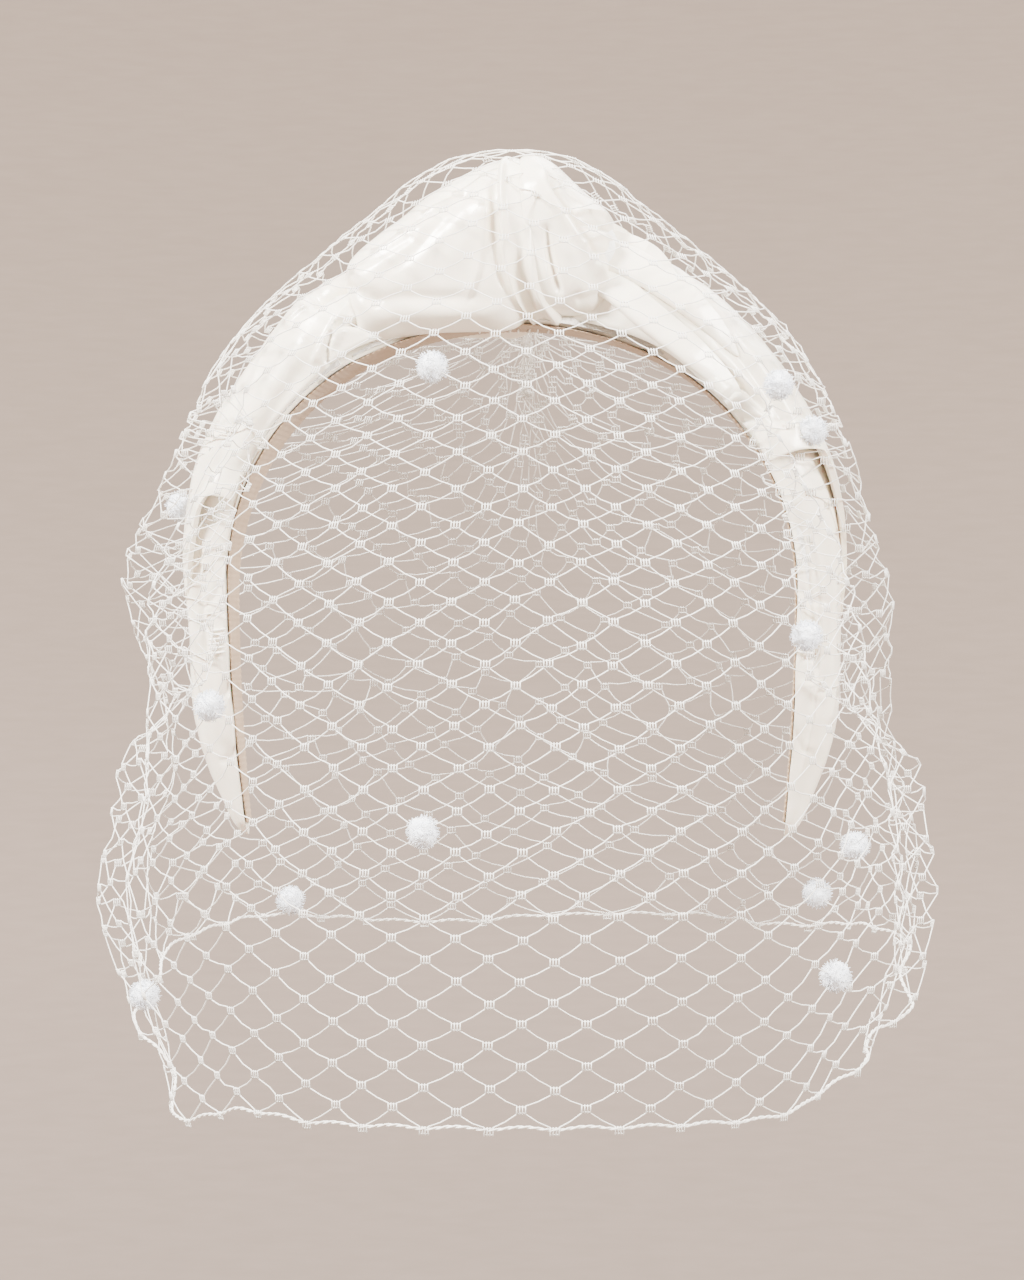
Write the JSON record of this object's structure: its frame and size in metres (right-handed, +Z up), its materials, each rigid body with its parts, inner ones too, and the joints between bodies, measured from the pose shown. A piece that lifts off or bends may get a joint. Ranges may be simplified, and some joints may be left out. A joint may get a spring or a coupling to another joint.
{
  "type": "knotted headband",
  "caption": "Padded ivory satin headband with an off-centre knot on the crown, springy arms, and a wrap-round birdcage veil of open net with chenille dots.",
  "frame": {"origin": "crown seat: middle of the band's underside at its highest point, where it rests on the head", "axes": "+Z up, -Y towards the wearer's face, +X towards the wearer's left"},
  "size_m": [0.2354, 0.2115, 0.273],
  "materials": {
    "knot_satin": "ivory duchess satin",
    "band_satin": "ivory duchess satin",
    "lining": "beige ribbed ribbon",
    "wadding": "soft polyester wadding",
    "band_core": "moulded",
    "thread": "sewing thread",
    "veil_netting": "off-white stiffened net",
    "selvedge_cord": "off-white doubled cord",
    "chenille": "fluffy white chenille"
  },
  "bodies": {
    "crown": {"crown_core": "band_core", "crown_lining": "lining", "crown_padding": "wadding", "crown_cover": "band_satin", "knot_main_lobe": "knot_satin", "knot_main_filling": "wadding", "knot_centre_pleat": "knot_satin", "knot_side_lobe": "knot_satin", "knot_side_filling": "wadding", "knot_fan_pleats": "knot_satin", "knot_stitches": "thread", "veil_gather_thread": "thread"},
    "right_arm": {"right_arm_core": "band_core", "right_arm_lining": "lining", "right_arm_padding": "wadding", "right_arm_cover": "band_satin", "right_arm_wing": "band_satin", "right_arm_tip_fold": "band_satin", "right_arm_veil_tack": "thread"},
    "left_arm": {"left_arm_core": "band_core", "left_arm_lining": "lining", "left_arm_padding": "wadding", "left_arm_cover": "band_satin", "left_arm_wing": "band_satin", "left_arm_tip_fold": "band_satin", "left_arm_veil_tack": "thread"},
    "veil": {"veil_net": "veil_netting", "veil_selvedge": "selvedge_cord", "chenille_dots": "chenille"}
  },
  "joints": [
    {"name": "right_arm_flex", "type": "hinge", "parent": "crown", "child": "right_arm", "pos_m": [-0.0423, 0.0009, -0.0102], "axis": [0, 1, 0], "range_deg": [-3, 7], "stiffness_Nm_per_rad": 1.4},
    {"name": "left_arm_flex", "type": "hinge", "parent": "crown", "child": "left_arm", "pos_m": [0.0423, 0.0009, -0.0102], "axis": [0, -1, 0], "range_deg": [-3, 7], "stiffness_Nm_per_rad": 1.4},
    {"name": "veil_lift", "type": "hinge", "parent": "crown", "child": "veil", "pos_m": [0, -0.015, -0.087], "axis": [-1, 0, 0], "range_deg": [0, 45], "deforming": ["veil_net", "veil_selvedge", "chenille_dots"]}
  ]
}
